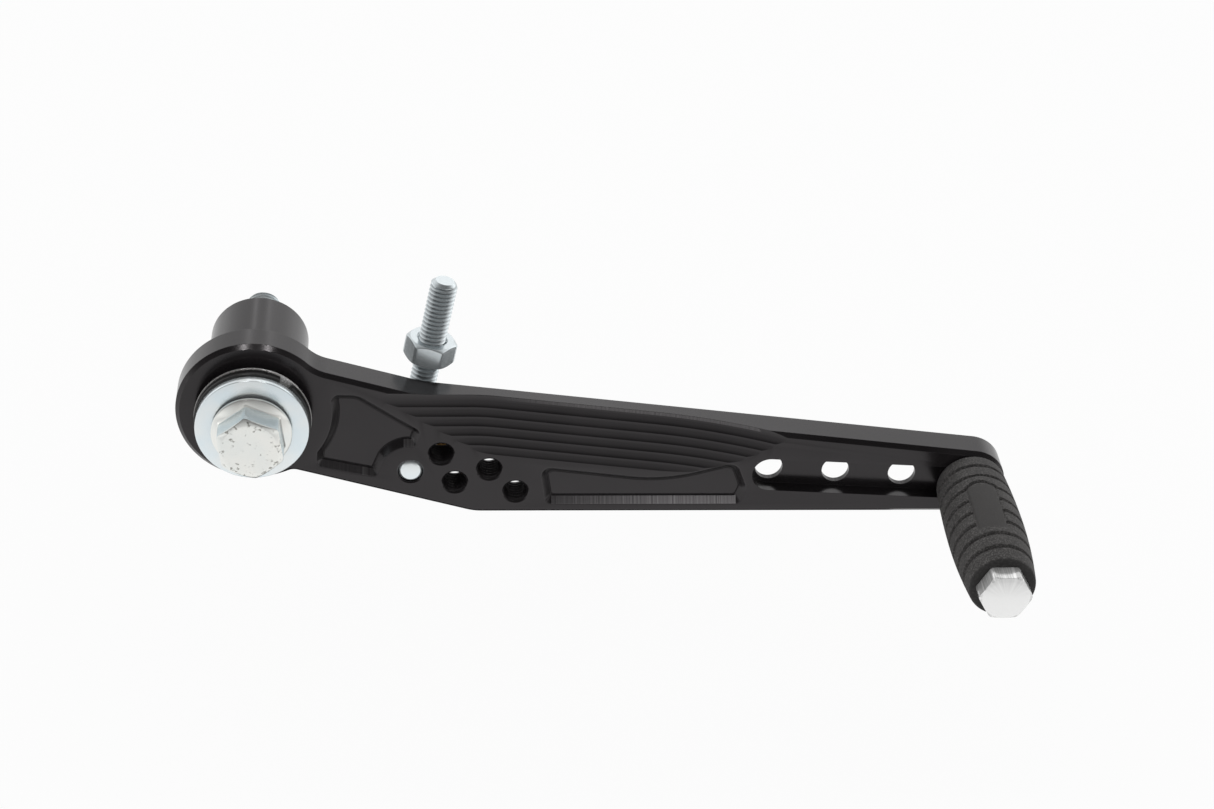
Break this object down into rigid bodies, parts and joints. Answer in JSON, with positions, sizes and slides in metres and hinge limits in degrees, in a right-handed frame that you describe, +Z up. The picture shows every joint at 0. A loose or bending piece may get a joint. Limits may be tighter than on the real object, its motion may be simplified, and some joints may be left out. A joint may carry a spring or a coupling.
{
  "type": "gear shift lever",
  "caption": "Milled black lever arm on a bolted pivot hub, with a grooved rubber toe peg at its end and a threaded rod end behind it for the gear linkage.",
  "frame": {"origin": "on the pivot axis, in the plane where the pivot sleeve seats on the machine", "axes": "+X along the arm towards the toe peg, +Y along the pivot axis towards the machine, +Z up"},
  "size_m": [0.1806, 0.0912, 0.0509],
  "materials": {
    "black_anodised": "black anodised over a fine bead-blasted surface",
    "zinc_plate": "bright zinc plate",
    "bright_steel": "ground steel",
    "black_spring": "black oxide spring steel",
    "dark_polymer": "moulded bearing polymer",
    "turned_alloy": "turned and polished",
    "peg_rubber": "moulded rubber with a fine speckle",
    "race_bronze": "plain bronze"
  },
  "bodies": {
    "pivot": {"pivot_bolt": "zinc_plate", "pivot_washer": "zinc_plate", "split_ring": "black_spring", "thrust_washer": "bright_steel", "pivot_sleeve": "bright_steel"},
    "lever": {"lever_arm": "black_anodised", "front_bush": "dark_polymer", "rear_bush": "dark_polymer", "peg_core": "turned_alloy", "peg_rubber": "peg_rubber", "peg_screw": "zinc_plate", "rod_end_ball": "bright_steel", "rod_end_spacer": "zinc_plate", "rod_end_screw": "zinc_plate"},
    "rod_end": {"rod_end_body": "zinc_plate", "rod_end_race": "race_bronze", "lock_nut": "zinc_plate"}
  },
  "joints": [
    {"name": "lever_pivot", "type": "hinge", "parent": "pivot", "child": "lever", "pos_m": [0, 0, 0], "axis": [0, 1, 0], "range_deg": [-15, 15]},
    {"name": "rod_end_swivel", "type": "hinge", "parent": "lever", "child": "rod_end", "pos_m": [0.0333, -0.0188, -0.0148], "axis": [0, 1, 0], "range_deg": [-45, 45]}
  ]
}
